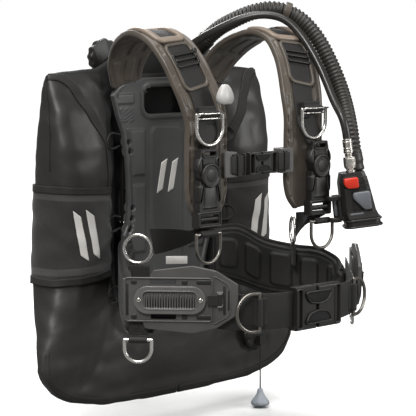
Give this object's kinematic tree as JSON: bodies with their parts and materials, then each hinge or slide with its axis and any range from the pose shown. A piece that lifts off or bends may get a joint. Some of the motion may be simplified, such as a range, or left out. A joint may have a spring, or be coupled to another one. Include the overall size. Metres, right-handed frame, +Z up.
{
  "type": "buoyancy compensator vest",
  "caption": "Back-inflation diving vest: air cell on a tank plate with padded shoulder straps, waist belt, chest strap, inflator and dump valves.",
  "frame": {"origin": "on the tank axis, at the middle of the upper tank band", "axes": "+X towards the wearer's left, -Y the front of the wearer, +Z up along the tank"},
  "size_m": [0.514, 0.5503, 0.6357],
  "materials": {
    "coated_nylon": "satin coated",
    "plate_plastic": "matte",
    "gel_pad": "matte moulded",
    "shoulder_gel": "matte moulded",
    "webbing": "woven",
    "black_plastic": "satin",
    "hip_plastic": "satin",
    "steel": "polished stainless steel",
    "gunmetal": "dark",
    "mouth_rubber": "matte",
    "hose_rubber": "matte",
    "coupler_chrome": "polished",
    "red_plastic": "satin",
    "grey_plastic": "satin",
    "cord": "braided",
    "knob_blue": "satin",
    "knob_white": "satin"
  },
  "bodies": {
    "harness": {"air_cell": "coated_nylon", "back_pad": "gel_pad", "backplate": "plate_plastic", "breathing_hose": "hose_rubber", "cam_frames": "black_plastic", "catch_screws": "steel", "coupler_body": "coupler_chrome", "dump_valve_lower": "black_plastic", "dump_valve_shoulder": "black_plastic", "hip_plate_left": "hip_plastic", "hip_plate_right": "hip_plastic", "hose_cuff": "black_plastic", "hose_elbow": "black_plastic", "hose_keeper": "black_plastic", "inflator_body": "black_plastic", "inflator_holder": "black_plastic", "inflator_mouthpiece": "mouth_rubber", "ladder_locks": "black_plastic", "lower_straps": "webbing", "lumbar_pad_left": "gel_pad", "lumbar_pad_right": "gel_pad", "ribbed_catches": "hip_plastic", "ring_tabs": "webbing", "shoulder_pad_left": "shoulder_gel", "shoulder_pad_right": "shoulder_gel", "shoulder_straps": "webbing", "strap_frames": "black_plastic", "strap_rings": "steel", "supply_fitting": "coupler_chrome", "supply_hose": "hose_rubber", "swivel_buckle_left": "black_plastic", "swivel_buckle_right": "black_plastic", "tank_band_lower": "webbing", "tank_band_upper": "webbing", "waist_belts": "webbing", "waist_buckle_plug": "black_plastic", "waist_buckle_socket": "black_plastic"},
    "shoulder_ring_left": {"shoulder_ring_left": "steel"},
    "lower_ring_left": {"lower_ring_left": "gunmetal"},
    "waist_ring_left": {"waist_ring_left": "gunmetal"},
    "hip_ring_left": {"hip_ring_left": "steel"},
    "hip_latch_left": {"hip_latch_left": "hip_plastic"},
    "shoulder_ring_right": {"shoulder_ring_right": "steel"},
    "lower_ring_right": {"lower_ring_right": "gunmetal"},
    "waist_ring_right": {"waist_ring_right": "gunmetal"},
    "hip_ring_right": {"hip_ring_right": "steel"},
    "hip_latch_right": {"hip_latch_right": "hip_plastic"},
    "cam_lever_upper": {"cam_lever_upper": "black_plastic"},
    "cam_lever_lower": {"cam_lever_lower": "black_plastic"},
    "inflate_button": {"inflate_button": "red_plastic"},
    "deflate_button": {"deflate_button": "grey_plastic"},
    "coupler_sleeve": {"coupler_sleeve": "coupler_chrome"},
    "dump_pull_lower": {"dump_pull_lower": "knob_blue", "dump_pull_cord": "cord"},
    "dump_pull_shoulder": {"dump_pull_shoulder": "knob_white"},
    "chest_strap": {"chest_sliders": "grey_plastic", "chest_webbing": "webbing", "chest_buckle_socket": "black_plastic", "chest_buckle_plug": "black_plastic"}
  },
  "joints": [
    {"name": "shoulder_ring_left_swing", "type": "hinge", "parent": "harness", "child": "shoulder_ring_left", "pos_m": [0.104, -0.335, 0.147], "axis": [-1, 0, 0], "range_deg": [0, 100]},
    {"name": "lower_ring_left_swing", "type": "hinge", "parent": "harness", "child": "lower_ring_left", "pos_m": [0.114, -0.343, -0.017], "axis": [-1, 0, 0], "range_deg": [-8, 12]},
    {"name": "waist_ring_left_swing", "type": "hinge", "parent": "harness", "child": "waist_ring_left", "pos_m": [0.0949, -0.4245, -0.1185], "axis": [0, 0, -1], "range_deg": [0, 110]},
    {"name": "hip_ring_left_swing", "type": "hinge", "parent": "harness", "child": "hip_ring_left", "pos_m": [0.21612, -0.31197, -0.156], "axis": [-0.682, -0.7314, 0], "range_deg": [-40, 90]},
    {"name": "hip_latch_left_lift", "type": "hinge", "parent": "harness", "child": "hip_latch_left", "pos_m": [0.14302, -0.39695, -0.1], "axis": [0, 0, -1], "range_deg": [0, 60], "stiffness_Nm_per_rad": 0.02},
    {"name": "shoulder_ring_right_swing", "type": "hinge", "parent": "harness", "child": "shoulder_ring_right", "pos_m": [-0.104, -0.335, 0.147], "axis": [-1, 0, 0], "range_deg": [0, 100]},
    {"name": "lower_ring_right_swing", "type": "hinge", "parent": "harness", "child": "lower_ring_right", "pos_m": [-0.114, -0.343, -0.017], "axis": [-1, 0, 0], "range_deg": [-8, 100]},
    {"name": "waist_ring_right_swing", "type": "hinge", "parent": "harness", "child": "waist_ring_right", "pos_m": [-0.0949, -0.4245, -0.1185], "axis": [0, 0, 1], "range_deg": [0, 110]},
    {"name": "hip_ring_right_swing", "type": "hinge", "parent": "harness", "child": "hip_ring_right", "pos_m": [-0.21612, -0.31197, -0.156], "axis": [-0.682, 0.7314, 0], "range_deg": [-40, 90]},
    {"name": "hip_latch_right_lift", "type": "hinge", "parent": "harness", "child": "hip_latch_right", "pos_m": [-0.14302, -0.39695, -0.1], "axis": [0, 0, 1], "range_deg": [0, 60], "stiffness_Nm_per_rad": 0.02},
    {"name": "cam_lever_upper_open", "type": "hinge", "parent": "harness", "child": "cam_lever_upper", "pos_m": [0.0593, 0.08978, 0], "axis": [0, 0, 1], "range_deg": [0, 150]},
    {"name": "cam_lever_lower_open", "type": "hinge", "parent": "harness", "child": "cam_lever_lower", "pos_m": [0.0593, 0.08978, -0.09], "axis": [0, 0, 1], "range_deg": [0, 150]},
    {"name": "inflate_button_press", "type": "slide", "parent": "harness", "child": "inflate_button", "axis": [0.6392, 0.769, 0], "range_m": [0, 0.003], "stiffness_N_per_m": 800},
    {"name": "deflate_button_press", "type": "slide", "parent": "harness", "child": "deflate_button", "axis": [0.6392, 0.769, 0], "range_m": [0, 0.003], "stiffness_N_per_m": 800},
    {"name": "coupler_sleeve_pull", "type": "slide", "parent": "harness", "child": "coupler_sleeve", "axis": [-0.0937, 0.0779, 0.9925], "range_m": [0, 0.004], "stiffness_N_per_m": 1500},
    {"name": "dump_pull_lower_pull", "type": "slide", "parent": "harness", "child": "dump_pull_lower", "axis": [0, 0, -1], "range_m": [0, 0.012], "stiffness_N_per_m": 400},
    {"name": "dump_pull_shoulder_pull", "type": "slide", "parent": "harness", "child": "dump_pull_shoulder", "axis": [0, -0.9207, -0.3903], "range_m": [0, 0.016], "stiffness_N_per_m": 400},
    {"name": "chest_strap_slide", "type": "slide", "parent": "harness", "child": "chest_strap", "axis": [0, 0, 1], "range_m": [-0.012, 0.035]}
  ]
}
